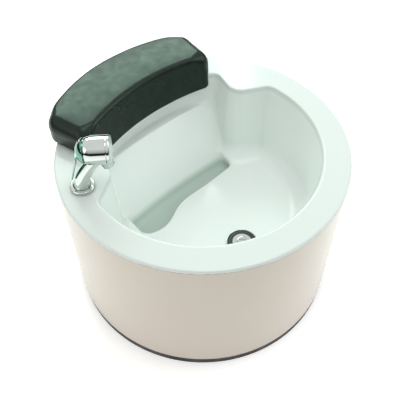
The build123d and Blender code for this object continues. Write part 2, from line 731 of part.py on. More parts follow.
with BuildPart() as drain_lock_nut:
    with BuildSketch(Plane.XY.offset(BOARD_TOP - 13.0)):
        with Locations(DRAIN_PLACE):
            RegularPolygon(35.0, 8)
            Circle(DRAIN_TUBE + 0.05, mode=Mode.SUBTRACT)
    extrude(amount=9.0)
write(drain_lock_nut, "drain_lock_nut")

with BuildPart() as waste_tailpiece:
    add(ring(TAILPIECE_RADIUS, TAILPIECE_RADIUS - 2.5, TAILPIECE_BOTTOM, 125.0, DRAIN_PLACE))
    add(ring(TAILPIECE_RADIUS + 1.5, TAILPIECE_RADIUS - 2.5, 125.0, 134.0, DRAIN_PLACE))
    add(ring(DRAIN_TUBE, TAILPIECE_RADIUS - 2.5, 134.0, 138.0, DRAIN_PLACE))
write(waste_tailpiece, "waste_tailpiece")

with BuildPart() as tailpiece_nut:
    add(ring(31.0, TAILPIECE_RADIUS + 1.8, 129.0, 134.0, DRAIN_PLACE))
    add(ring(31.0, DRAIN_TUBE + 0.05, 134.0, 150.0, DRAIN_PLACE))
    with BuildSketch(Plane.XY.offset(129.0)):
        with Locations(DRAIN_PLACE):
            with PolarLocations(31.0, 12):
                Circle(1.6, mode=Mode.ADD)
            Circle(28.0, mode=Mode.SUBTRACT)
    extrude(amount=21.0)
write(tailpiece_nut, "tailpiece_nut")

with BuildPart() as stopper_plug:
    with BuildSketch(Plane(origin=(*DRAIN_PLACE, 0), x_dir=(1, 0, 0), z_dir=(0, -1, 0))):
        with BuildLine():
            Polyline((0, 163.0), (19.5, 163.0), (DRAIN_BORE - 0.4, STOPPER_BASE),
                     (STOPPER_RADIUS, STOPPER_BASE), (STOPPER_RADIUS, STOPPER_BASE + 1.2))
            ThreePointArc((STOPPER_RADIUS, STOPPER_BASE + 1.2), (28.0, STOPPER_BASE + 3.0),
                          (STOPPER_WELL, STOPPER_BASE + 3.2))
            Polyline((STOPPER_WELL, STOPPER_BASE + 3.2), (STOPPER_WELL, STOPPER_BASE + 0.4),
                     (0, STOPPER_BASE + 0.4), (0, 163.0))
        make_face()
    revolve(axis=Axis((*DRAIN_PLACE, 0), (0, 0, 1)))
    with Locations((*DRAIN_PLACE, STOPPER_BASE + 0.4)):
        Cylinder(4.0, 10.0, align=(Align.CENTER, Align.CENTER, Align.MAX), mode=Mode.SUBTRACT)
write(stopper_plug, "stopper_plug")

with BuildPart() as stopper_knob:
    with Locations((*DRAIN_PLACE, STOPPER_BASE + 0.4)):
        Cylinder(4.0, 10.0, align=(Align.CENTER, Align.CENTER, Align.MAX))
        Cylinder(STOPPER_WELL - 0.2, 2.0, align=(Align.CENTER, Align.CENTER, Align.MIN))
    with Locations((*DRAIN_PLACE, KNOB_TOP)):
        Cylinder(11.5, KNOB_TOP - STOPPER_BASE - 1.0, align=(Align.CENTER, Align.CENTER, Align.MAX))
    fillet(stopper_knob.faces().sort_by(Axis.Z)[-1].edges(), 2.5)
    with Locations(Location((*DRAIN_PLACE, KNOB_TOP), (0, 0, SLOT_TURN))):
        Box(15.0, 6.0, 3.0, align=(Align.CENTER, Align.CENTER, Align.MAX), mode=Mode.SUBTRACT)
write(stopper_knob, "stopper_knob")
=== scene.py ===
import json
from math import atan2, cos, hypot, pi, radians, sin, sqrt, tan

import bpy
import numpy as np
from mathutils import Matrix, Vector


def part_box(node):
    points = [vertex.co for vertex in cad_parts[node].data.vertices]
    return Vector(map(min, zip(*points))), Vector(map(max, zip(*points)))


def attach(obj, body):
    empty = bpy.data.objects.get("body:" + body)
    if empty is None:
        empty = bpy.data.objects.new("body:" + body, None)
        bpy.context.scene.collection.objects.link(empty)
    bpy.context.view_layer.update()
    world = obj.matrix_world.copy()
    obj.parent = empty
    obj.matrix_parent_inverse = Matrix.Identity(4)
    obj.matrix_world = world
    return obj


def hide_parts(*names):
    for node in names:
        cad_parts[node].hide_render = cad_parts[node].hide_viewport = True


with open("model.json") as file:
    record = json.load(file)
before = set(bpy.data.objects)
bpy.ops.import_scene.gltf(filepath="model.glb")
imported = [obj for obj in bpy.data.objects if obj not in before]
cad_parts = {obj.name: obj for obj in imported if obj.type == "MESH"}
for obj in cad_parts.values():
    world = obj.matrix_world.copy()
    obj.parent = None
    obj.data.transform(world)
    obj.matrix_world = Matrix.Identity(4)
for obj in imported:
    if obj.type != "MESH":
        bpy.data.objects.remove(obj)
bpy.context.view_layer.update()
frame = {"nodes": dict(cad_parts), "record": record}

MM = 0.001

# ------------------------------------------------------------------ basin, in mm
TUB_RADIUS = 300.0
DECK = 370.0
WALL = 5.0
DECK_EDGE_ROUND = 4.5
RIM_ROUND = 5.0
DRAFT = radians(3.5)
FLOOR = 175.0
COVE = 38.0
BOWL_RADIUS = 243.0
CIRCLE_END = radians(8.0)
SHOULDER_TIP = (167.0, 76.0)
BAY_CORNER = (188.0, 147.0)
BAY_BACK = (0.0, 200.0)
BAY_BACK_RADIUS = 355.0
CIRCLE_END_ROUND = 20.0
SHOULDER_ROUND = 34.0
BAY_CORNER_ROUND = 16.0
LEDGE = 296.0
LEDGE_FRONT = 165.0
LEDGE_RISE = -18.0 / 65.0
LEDGE_ROUND = 3.5
SLOPE_FOOT = 84.0
BENCH_BEND = 1300.0
BENCH_CORNER = 9.0
TROUGH_FLOOR = 148.0
TROUGH_HALF = 146.0
TROUGH_EDGE = ((-146.0, 32.0), (-95.0, 20.0), (-40.0, 41.0), (30.0, 46.0), (146.0, 48.0))
TROUGH_CORNER = 16.0
TROUGH_BED_ROUND = 9.0
TROUGH_HEADROOM = 8.0
TROUGH_HEAD_ROUND = 3.0
TROUGH_RIM_ROUND = 4.5
LIP_WIDTH = 9.0
LIP_DEPTH = 7.0
RIM_OVERLAP = 0.5
DRAIN_HOLE = 26.5
TAP_HOLE = 17.0
PEG_HOLE = 9.0
BASIN_STEP = 2.0


def round_and(a, b, r):
    """Overlap of two signed distances, with a round of radius r where they meet."""
    u = np.maximum(a + r, 0.0)
    v = np.maximum(b + r, 0.0)
    return np.minimum(np.maximum(a, b), -r) + np.sqrt(u * u + v * v)


def round_or(a, b, r):
    """Union of two signed distances, with a round of radius r where they meet."""
    return -round_and(-a, -b, r)


# ---------------------------------------------------------------- plan of the bowl
def arc_points(centre, radius, start, end, step=1.2):
    """Points along an arc, about a step apart, both ends included."""
    count = max(3, int(abs(end - start) * radius / step) + 1)
    return [
        (centre[0] + radius * cos(t), centre[1] + radius * sin(t))
        for t in np.linspace(start, end, count)
    ]


def line_offset(a, b, distance):
    """A point on the line a-b moved to its left by distance, and the line's unit direction."""
    dx, dy = b[0] - a[0], b[1] - a[1]
    size = hypot(dx, dy)
    dx, dy = dx / size, dy / size
    return (a[0] - dy * distance, a[1] + dx * distance), (dx, dy)


def line_circle(point, direction, centre, radius, near):
    """Where a line meets a circle, the one nearer to a given point."""
    px, py = point[0] - centre[0], point[1] - centre[1]
    along = px * direction[0] + py * direction[1]
    root = sqrt(along * along - (px * px + py * py - radius * radius))
    found = [
        (point[0] + direction[0] * t, point[1] + direction[1] * t)
        for t in (-along - root, -along + root)
    ]
    return min(found, key=lambda p: hypot(p[0] - near[0], p[1] - near[1]))


def line_line(p, d, q, e):
    """Where two lines meet."""
    cross = d[0] * e[1] - d[1] * e[0]
    t = ((q[0] - p[0]) * e[1] - (q[1] - p[1]) * e[0]) / cross
    return (p[0] + d[0] * t, p[1] + d[1] * t)


def heading(centre, point):
    return atan2(point[1] - centre[1], point[0] - centre[0])


def foot_of(point, line_point, direction):
    """The point of a line nearest to a given point."""
    t = (point[0] - line_point[0]) * direction[0] + (point[1] - line_point[1]) * direction[1]
    return (line_point[0] + direction[0] * t, line_point[1] + direction[1] * t)


def half_outline():
    """The right half of the bowl's opening, from its front to the middle of the bay's back."""
    circle_end = (BOWL_RADIUS * cos(CIRCLE_END), BOWL_RADIUS * sin(CIRCLE_END))
    # centre of the arc across the back of the bay
    mid = ((BAY_CORNER[0] + BAY_BACK[0]) / 2, (BAY_CORNER[1] + BAY_BACK[1]) / 2)
    chord = (BAY_BACK[0] - BAY_CORNER[0], BAY_BACK[1] - BAY_CORNER[1])
    size = hypot(*chord)
    rise = sqrt(BAY_BACK_RADIUS**2 - (size / 2) ** 2)
    back_centre = (mid[0] - chord[1] / size * rise, mid[1] + chord[0] / size * rise)
    # first corner: circle to shoulder
    p, d = line_offset(circle_end, SHOULDER_TIP, CIRCLE_END_ROUND)
    c1 = line_circle(p, d, (0, 0), BOWL_RADIUS - CIRCLE_END_ROUND, circle_end)
    t1 = heading((0, 0), c1)
    f1 = foot_of(c1, circle_end, d)
    # the shoulder's tip
    p1, d1 = line_offset(circle_end, SHOULDER_TIP, -SHOULDER_ROUND)
    p2, d2 = line_offset(SHOULDER_TIP, BAY_CORNER, -SHOULDER_ROUND)
    c2 = line_line(p1, d1, p2, d2)
    a2, b2 = foot_of(c2, circle_end, d1), foot_of(c2, SHOULDER_TIP, d2)
    # the bay's corner
    p3, d3 = line_offset(SHOULDER_TIP, BAY_CORNER, BAY_CORNER_ROUND)
    c3 = line_circle(p3, d3, back_centre, BAY_BACK_RADIUS - BAY_CORNER_ROUND, BAY_CORNER)
    a3 = foot_of(c3, SHOULDER_TIP, d3)
    t3 = heading(back_centre, c3)
    tip_start, tip_end = heading(c2, a2), heading(c2, b2)
    if tip_end > tip_start:
        tip_end -= 2 * pi
    points = arc_points((0, 0), BOWL_RADIUS, -pi / 2, t1)
    points += arc_points(c1, CIRCLE_END_ROUND, t1, heading(c1, f1))
    points += arc_points(c2, SHOULDER_ROUND, tip_start, tip_end)
    points += arc_points(c3, BAY_CORNER_ROUND, heading(c3, a3), t3)
    points += arc_points(back_centre, BAY_BACK_RADIUS, t3, heading(back_centre, BAY_BACK))
    return np.array(points)


class PlanField:
    """Signed distance to a symmetric outline, sampled on a grid of the right half."""

    def __init__(self, outline, low, high, step=1.0):
        self.low, self.step = np.array(low), step
        xs = np.arange(low[0], high[0] + step, step)
        ys = np.arange(low[1], high[1] + step, step)
        gx, gy = np.meshgrid(xs, ys, indexing="ij")
        best = np.full(gx.shape, 1e9)
        inside = np.zeros(gx.shape, bool)
        closed = np.vstack([outline, [(0.0, outline[-1][1])], [(0.0, outline[0][1])]])
        for i in range(len(closed)):
            (ax, ay), (bx, by) = closed[i], closed[(i + 1) % len(closed)]
            ex, ey = bx - ax, by - ay
            if i < len(outline) - 1:
                along = ((gx - ax) * ex + (gy - ay) * ey) / max(ex * ex + ey * ey, 1e-12)
                along = np.clip(along, 0.0, 1.0)
                gap = (gx - ax - along * ex) ** 2 + (gy - ay - along * ey) ** 2
                best = np.minimum(best, gap)
            if abs(ey) > 1e-9:
                spans = (ay > gy) != (by > gy)
                crosses = gx < ex * (gy - ay) / ey + ax
                inside ^= spans & crosses
        self.values = np.where(inside, -1.0, 1.0) * np.sqrt(best)

    def __call__(self, x, y):
        u = np.clip((np.abs(x) - self.low[0]) / self.step, 0, self.values.shape[0] - 1.001)
        v = np.clip((y - self.low[1]) / self.step, 0, self.values.shape[1] - 1.001)
        i, j = u.astype(int), v.astype(int)
        u, v = u - i, v - j
        t = self.values
        return (
            t[i, j] * (1 - u) * (1 - v)
            + t[i + 1, j] * u * (1 - v)
            + t[i, j + 1] * (1 - u) * v
            + t[i + 1, j + 1] * u * v
        )


class SmoothCurve:
    """A natural cubic spline y(x) through a few points."""

    def __init__(self, points):
        self.x = np.array([p[0] for p in points])
        self.y = np.array([p[1] for p in points])
        n = len(points)
        h = np.diff(self.x)
        a = np.eye(n)
        b = np.zeros(n)
        for i in range(1, n - 1):
            a[i, i - 1 : i + 2] = h[i - 1], 2 * (h[i - 1] + h[i]), h[i]
            b[i] = 6 * ((self.y[i + 1] - self.y[i]) / h[i] - (self.y[i] - self.y[i - 1]) / h[i - 1])
        self.bend = np.linalg.solve(a, b)

    def __call__(self, x):
        x = np.clip(x, self.x[0], self.x[-1])
        i = np.clip(np.searchsorted(self.x, x) - 1, 0, len(self.x) - 2)
        h = self.x[i + 1] - self.x[i]
        a, b = (self.x[i + 1] - x) / h, (x - self.x[i]) / h
        curve = ((a**3 - a) * self.bend[i] + (b**3 - b) * self.bend[i + 1]) * h * h / 6
        return a * self.y[i] + b * self.y[i + 1] + curve


# ------------------------------------------------------------------ mesh from a field
SLOPE_STEP = 0.05
SETTLE_ROUNDS = 3
CUBE = np.array([(i, j, k) for i in (0, 1) for j in (0, 1) for k in (0, 1)])
EDGES = [
    (a, b)
    for a in range(8)
    for b in range(a + 1, 8)
    if np.abs(CUBE[a] - CUBE[b]).sum() == 1
]


def sample(field, axes):
    """The field's values on a grid, one slice at a time to save memory."""
    values = np.empty(tuple(len(a) for a in axes), np.float32)
    gy, gz = np.meshgrid(axes[1], axes[2], indexing="ij")
    for i, x in enumerate(axes[0]):
        values[i] = field(np.full(gy.shape, x), gy, gz)
    return values


def crossed_cells(values):
    """Grid cells that the surface passes through, each with the middle of its edge crossings."""
    inside = values < 0
    cells = tuple(n - 1 for n in values.shape)
    total = np.zeros(cells, np.int8)
    for i, j, k in CUBE:
        total += inside[i : i + cells[0], j : j + cells[1], k : k + cells[2]]
    where = np.argwhere((total > 0) & (total < 8))
    corner = np.stack([values[tuple((where + c).T)] for c in CUBE], axis=1)
    spot = np.zeros((len(where), 3))
    hits = np.zeros(len(where))
    for a, b in EDGES:
        va, vb = corner[:, a], corner[:, b]
        cut = (va < 0) != (vb < 0)
        t = np.where(cut, va / np.where(cut, va - vb, 1.0), 0.0)
        spot += np.where(cut[:, None], CUBE[a] + t[:, None] * (CUBE[b] - CUBE[a]), 0.0)
        hits += cut
    return where, spot / hits[:, None]


def settle(field, points, step):
    """Move points onto the surface along the field's slope, half a cell at most at a time."""
    h = SLOPE_STEP
    for _ in range(SETTLE_ROUNDS):
        x, y, z = points.T
        value = field(x, y, z)
        slope = np.stack(
            [
                field(x + h, y, z) - field(x - h, y, z),
                field(x, y + h, z) - field(x, y - h, z),
                field(x, y, z + h) - field(x, y, z - h),
            ],
            axis=1,
        ) / (2 * h)
        size = np.maximum((slope * slope).sum(axis=1), 0.1)
        move = -(value / size)[:, None] * slope
        reach = np.linalg.norm(move, axis=1, keepdims=True)
        points = points + move * np.minimum(1.0, 0.5 * step / np.maximum(reach, 1e-9))
    return points


def quads(values, number):
    """One quad round each grid edge that the surface crosses, facing outward."""
    inside = values < 0
    faces = []
    for axis in range(3):
        first = [slice(None)] * 3
        second = [slice(None)] * 3
        first[axis], second[axis] = slice(0, -1), slice(1, None)
        change = inside[tuple(first)] != inside[tuple(second)]
        one, two = [n for n in range(3) if n != axis]
        at = np.argwhere(change)
        ok = (at[:, one] > 0) & (at[:, two] > 0)
        ok &= (at[:, one] < inside.shape[one] - 1) & (at[:, two] < inside.shape[two] - 1)
        at = at[ok]
        ring = []
        for i, j in ((-1, -1), (0, -1), (0, 0), (-1, 0)):
            cell = at.copy()
            cell[:, one] += i
            cell[:, two] += j
            ring.append(number[tuple(cell.T)])
        quad = np.stack(ring, axis=1)
        out = inside[tuple(at.T)]
        if axis == 1:
            out = ~out
        quad[~out] = quad[~out][:, ::-1]
        faces.append(quad)
    return np.vstack(faces)


def surface_of(field, low, high, step):
    """Closed quad mesh round the negative part of field(x, y, z), with its points on the surface."""
    axes = [np.arange(low[i], high[i] + step, step) for i in range(3)]
    values = sample(field, axes)
    where, spot = crossed_cells(values)
    number = np.full(tuple(n - 1 for n in values.shape), -1, np.int32)
    number[tuple(where.T)] = np.arange(len(where))
    start = np.array([a[0] for a in axes])
    points = settle(field, start + (where + spot) * step, step)
    return points * MM, quads(values, number)


def object_from(name, points, faces):
    """A smooth-shaded mesh object of quads."""
    mesh = bpy.data.meshes.new(name)
    mesh.vertices.add(len(points))
    mesh.vertices.foreach_set("co", np.asarray(points, np.float32).ravel())
    mesh.loops.add(faces.size)
    mesh.loops.foreach_set("vertex_index", faces.astype(np.int32).ravel())
    mesh.polygons.add(len(faces))
    mesh.polygons.foreach_set("loop_start", np.arange(0, faces.size, 4, dtype=np.int32))
    mesh.polygons.foreach_set("use_smooth", np.ones(len(faces), bool))
    mesh.update(calc_edges=True)
    mesh.validate()
    obj = bpy.data.objects.new(name, mesh)
    bpy.context.scene.collection.objects.link(obj)
    return obj


# ------------------------------------------------------------------------ basin
PLAN_REACH = TUB_RADIUS + 6.0
BOWL_PLAN = PlanField(half_outline(), (0.0, -PLAN_REACH), (PLAN_REACH, PLAN_REACH))
TROUGH_CURVE = SmoothCurve(TROUGH_EDGE)


def centre_of(node):
    """The middle of a CAD node's box, in mm."""
    low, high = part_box(node)
    return (low + high) / 2 / MM


drain = centre_of("drain_flange")
tap_foot = centre_of("tap_flange")
pegs = [centre_of("peg_socket_left"), centre_of("peg_socket_right")]


def bowl_air(x, y, z):
    """Signed distance to the air inside the bowl."""
    wall = (BOWL_PLAN(x, y) + (DECK - z) * tan(DRAFT)) * cos(DRAFT)
    air = round_and(wall, FLOOR - z, COVE)
    curve = TROUGH_CURVE(x)
    grade = (TROUGH_CURVE(x + 1.0) - TROUGH_CURVE(x - 1.0)) / 2
    near = (curve - y) / np.sqrt(1 + grade * grade)
    plan = round_and(near, np.abs(x) - TROUGH_HALF, TROUGH_CORNER)
    bed = round_and(plan, TROUGH_FLOOR - z, TROUGH_BED_ROUND)
    channel = round_and(bed, z - FLOOR - TROUGH_HEADROOM, TROUGH_HEAD_ROUND)
    air = round_or(air, channel, TROUGH_RIM_ROUND)
    reach = np.hypot(x, y + BENCH_BEND) - BENCH_BEND
    ledge = z - LEDGE - LEDGE_RISE * (reach - LEDGE_FRONT)
    lean = (LEDGE_FRONT - SLOPE_FOOT) / (LEDGE - TROUGH_FLOOR)
    slope = (SLOPE_FOOT + (z - TROUGH_FLOOR) * lean - reach) / sqrt(1 + lean * lean)
    bench = round_and(ledge, slope, LEDGE_ROUND)
    return round_and(air, -bench, BENCH_CORNER)


def basin_field(x, y, z):
    """Signed distance to the acrylic shell."""
    air = bowl_air(x, y, z)
    spread = np.hypot(x, y)
    deck = round_and(spread - TUB_RADIUS, z - DECK, DECK_EDGE_ROUND)
    plate = np.maximum(deck, DECK - WALL - z)
    lip = np.maximum(np.maximum(deck, TUB_RADIUS - LIP_WIDTH - spread), DECK - LIP_DEPTH - z)
    top = round_and(np.minimum(plate, lip), -air, RIM_ROUND)
    wall = np.maximum(np.maximum(air - WALL, -air), z - DECK + RIM_ROUND - RIM_OVERLAP)
    shell = np.minimum(top, wall)
    shell = np.maximum(shell, DRAIN_HOLE - np.hypot(x - drain[0], y - drain[1]))
    shell = np.maximum(shell, TAP_HOLE - np.hypot(x - tap_foot[0], y - tap_foot[1]))
    for peg in pegs:
        shell = np.maximum(shell, PEG_HOLE - np.hypot(x - peg[0], y - peg[1]))
    return shell


def make_basin():
    step = BASIN_STEP
    reach = TUB_RADIUS + 3.0
    points, faces = surface_of(
        basin_field,
        (-reach, -reach, TROUGH_FLOOR - WALL - 4.0),
        (reach, reach, DECK + 4.0),
        step,
    )
    basin = object_from("basin", points, faces)
    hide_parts("basin_shell")
    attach(basin, "tub")
    return basin


basin = make_basin()

# ---------------------------------------------------------------------- cushion
FOOTREST_TURN = radians(3.0)
PAD_TOP = 430.0
PAD_BASE = 373.2
PAD_BOTTOM = 342.0
PAD_OUTER = (-62.0, 366.0)
PAD_CORNER_X = 183.0
PAD_FRONT = ((169.5, 134.0), (184.0, 141.0))
PAD_END = ((183.0, 143.0), (203.0, 243.0))
PAD_LONG_ROUND = 9.0
PAD_END_ROUND = 26.0
PAD_BACK_CORNER = 20.0
PAD_FRONT_CORNER = 26.0
APRON_ROUND = 7.0
APRON_FILLET = 4.0
BAY_GAP = 1.0
PAD_CROWN = 3.0
CROWN_REACH = 50.0
END_START = 52.0
END_REACH = 40.0
PAD_MARGIN = 14.0
PAD_STEP = 1.8


def soft_waves(x, y, z):
    """The slight unevenness of stuffed vinyl, in mm."""
    slow = np.sin(x / 31.0 + 0.7) * np.sin(y / 23.0 + z / 37.0 + 1.9)
    fine = np.sin(x / 13.0 + y / 17.0) * np.sin(z / 11.0 - x / 29.0 + 0.4)
    return 0.35 * slow + 0.15 * fine


def pad_field(x, y, z):
    """Signed distance to the footrest's cushion."""
    c, s = cos(FOOTREST_TURN), sin(FOOTREST_TURN)
    u, v = x * c + y * s, y * c - x * s
    rise = (z - PAD_BOTTOM) / (PAD_TOP - PAD_BOTTOM)
    apex = PAD_FRONT[0][0] + (PAD_FRONT[1][0] - PAD_FRONT[0][0]) * rise
    corner = PAD_FRONT[0][1] + (PAD_FRONT[1][1] - PAD_FRONT[0][1]) * rise
    sag = apex - corner
    bend = (PAD_CORNER_X**2 + sag * sag) / (2 * sag)
    front = bend - np.hypot(u, v - apex + bend)
    back = np.hypot(u, v - PAD_OUTER[0]) - PAD_OUTER[1]
    ex, ey = PAD_END[1][0] - PAD_END[0][0], PAD_END[1][1] - PAD_END[0][1]
    end = ((np.abs(u) - PAD_END[0][0]) * ey - (v - PAD_END[0][1]) * ex) / hypot(ex, ey)
    plan = round_and(round_and(back, end, PAD_BACK_CORNER), front, PAD_FRONT_CORNER)
    crown = PAD_CROWN * np.clip((plan + CROWN_REACH) / CROWN_REACH, 0.0, 1.0) ** 2
    top = z - PAD_TOP + crown
    near_end = np.clip((end + END_START) / END_REACH, 0.0, 1.0)
    near_end = near_end * near_end * (3 - 2 * near_end)
    round_top = PAD_LONG_ROUND + (PAD_END_ROUND - PAD_LONG_ROUND) * near_end
    body = round_and(plan, top, round_top)
    bay_wall = BOWL_PLAN(x, y) + (DECK - z) * tan(DRAFT) + BAY_GAP
    apron = round_and(bay_wall, PAD_BOTTOM - z, APRON_ROUND)
    body = round_and(body, np.minimum(PAD_BASE - z, apron), APRON_FILLET)
    return body + soft_waves(x, y, z)


def make_pad():
    low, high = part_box("footrest_pad")
    points, faces = surface_of(
        pad_field,
        [n / MM - PAD_MARGIN for n in low],
        [n / MM + PAD_MARGIN for n in high],
        PAD_STEP,
    )
    pad = object_from("footrest_cushion", points, faces)
    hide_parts("footrest_pad")
    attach(pad, "footrest")
    return pad


cushion = make_pad()

# ------------------------------------------------------------------------ camera
# Metres from here on.
CAMERA_PLACE = Vector((-0.572, -0.596, 1.204))
LOOK_FLAT = Vector((0.6871, 0.7266))
LOOK_DOWN = radians(50.56)
ROLL = radians(-0.33)
LENS = 51.75


def make_camera():
    data = bpy.data.cameras.new("camera")
    data.lens = LENS
    data.sensor_width = 36.0
    camera = bpy.data.objects.new("camera", data)
    bpy.context.scene.collection.objects.link(camera)
    flat = LOOK_FLAT.normalized() * cos(LOOK_DOWN)
    look = Vector((flat.x, flat.y, -sin(LOOK_DOWN)))
    turn = look.to_track_quat("-Z", "Y").to_matrix().to_4x4() @ Matrix.Rotation(ROLL, 4, "Z")
    camera.matrix_world = Matrix.Translation(CAMERA_PLACE) @ turn
    bpy.context.scene.camera = camera


make_camera()

# ----------------------------------------------------------------------- studio
FLOOR_SIZE = 12.0
FLOOR_DROP = 0.0005
FLOOR_GREY = 0.95
FLOOR_ROUGHNESS = 0.9
FLOOR_GLOW = 0.30
SKY_HIGH = 0.90
SKY_SIDE = 0.80
SKY_VIEWER = 0.20
HORIZON_DARK = 0.06
# Brightness of the sky, as (position, level): from behind the object round to behind the
# viewer, from low to high, and the dark horizon that only glossy rays see.
AROUND = ((0.0, SKY_SIDE), (0.55, SKY_SIDE), (0.85, SKY_VIEWER), (1.0, SKY_VIEWER))
UPWARD = ((0.1, 0.0), (0.75, 1.0))
HORIZON = ((0.0, HORIZON_DARK), (0.22, HORIZON_DARK), (0.34, 1.0))


def make_floor():
    bpy.ops.mesh.primitive_plane_add(size=FLOOR_SIZE, location=(0, 0, -FLOOR_DROP))
    floor = bpy.context.object
    floor.name = "studio_floor"
    paint = bpy.data.materials.new("studio_floor")
    paint.use_nodes = True
    shader = paint.node_tree.nodes["Principled BSDF"]
    shader.inputs["Base Color"].default_value = (FLOOR_GREY, FLOOR_GREY, FLOOR_GREY, 1)
    shader.inputs["Roughness"].default_value = FLOOR_ROUGHNESS
    shader.inputs["Emission Color"].default_value = (1, 1, 1, 1)
    shader.inputs["Emission Strength"].default_value = FLOOR_GLOW
    floor.data.materials.append(paint)


def ramp(tree, value, stops):
    """Brightness along a value, from a list of (position, brightness)."""
    node = tree.nodes.new("ShaderNodeValToRGB")
    marks = node.color_ramp.elements
    while len(marks) < len(stops):
        marks.new(0.5)
    for mark, (place, level) in zip(marks, stops):
        mark.position = place
        mark.color = (level, level, level, 1)
    tree.links.new(value, node.inputs["Fac"])
    return node.outputs["Color"]


def maths(tree, operation, a, b):
    """The output of a maths node fed by two numbers or sockets."""
    node = tree.nodes.new("ShaderNodeMath")
    node.operation = operation
    for socket, value in zip(node.inputs, (a, b)):
        if isinstance(value, (int, float)):
            socket.default_value = value
        else:
            tree.links.new(value, socket)
    return node.outputs[0]


def make_world():
    """A pale studio: bright above, dim behind the viewer, with a dark line at the horizon."""
    world = bpy.data.worlds.new("studio")
    bpy.context.scene.world = world
    world.use_nodes = True
    tree = world.node_tree
    sky = tree.nodes["Background"]
    place = tree.nodes.new("ShaderNodeTexCoord").outputs["Generated"]
    split = tree.nodes.new("ShaderNodeSeparateXYZ")
    tree.links.new(place, split.inputs[0])
    flat = LOOK_FLAT.normalized()
    facing = maths(
        tree,
        "ADD",
        maths(tree, "MULTIPLY", split.outputs["X"], -flat.x),
        maths(tree, "MULTIPLY", split.outputs["Y"], -flat.y),
    )
    facing = maths(tree, "ADD", maths(tree, "MULTIPLY", facing, 0.5), 0.5)
    around = ramp(tree, facing, AROUND)
    height = ramp(tree, split.outputs["Z"], UPWARD)
    level = tree.nodes.new("ShaderNodeMix")
    level.data_type = "RGBA"
    tree.links.new(height, level.inputs["Factor"])
    tree.links.new(around, level.inputs["A"])
    level.inputs["B"].default_value = (SKY_HIGH, SKY_HIGH, SKY_HIGH, 1)
    horizon = ramp(tree, split.outputs["Z"], HORIZON)
    path = tree.nodes.new("ShaderNodeLightPath")
    dark = tree.nodes.new("ShaderNodeMix")
    dark.data_type = "RGBA"
    dark.blend_type = "MULTIPLY"
    tree.links.new(path.outputs["Is Glossy Ray"], dark.inputs["Factor"])
    tree.links.new(level.outputs["Result"], dark.inputs["A"])
    tree.links.new(horizon, dark.inputs["B"])
    tree.links.new(dark.outputs["Result"], sky.inputs["Color"])
    sky.inputs["Strength"].default_value = 1.0


def area_light(name, place, target, size, power, colour=(1, 1, 1), depth=None):
    """A rectangular softbox of a size in metres and a power in watts, aimed at a target."""
    data = bpy.data.lights.new(name, "AREA")
    data.energy = power
    data.color = colour
    data.shape = "RECTANGLE"
    data.size = size
    data.size_y = depth or size
    lamp = bpy.data.objects.new(name, data)
    bpy.context.scene.collection.objects.link(lamp)
    place, target = Vector(place), Vector(target)
    lamp.matrix_world = (
        Matrix.Translation(place) @ (target - place).to_track_quat("-Z", "Y").to_matrix().to_4x4()
    )
    return lamp


bpy.context.scene.view_settings.view_transform = "Standard"
make_floor()
make_world()
area_light("softbox_back", (0.97, 1.68, 1.77), (0, 0.2, 0.43), 1.6, 28.0, (0.80, 1.0, 0.89), depth=1.0)
area_light("softbox_top", (0.25, -0.15, 2.4), (0, -0.05, 0.2), 0.9, 8.0)
area_light("softbox_left", (-1.9, 0.3, 1.3), (0, 0, 0.2), 1.2, 5.5, (1.0, 0.90, 0.78))
area_light("softbox_right", (1.7, -1.1, 1.3), (0, 0, 0.2), 1.2, 9.0, (0.93, 1.0, 0.97))


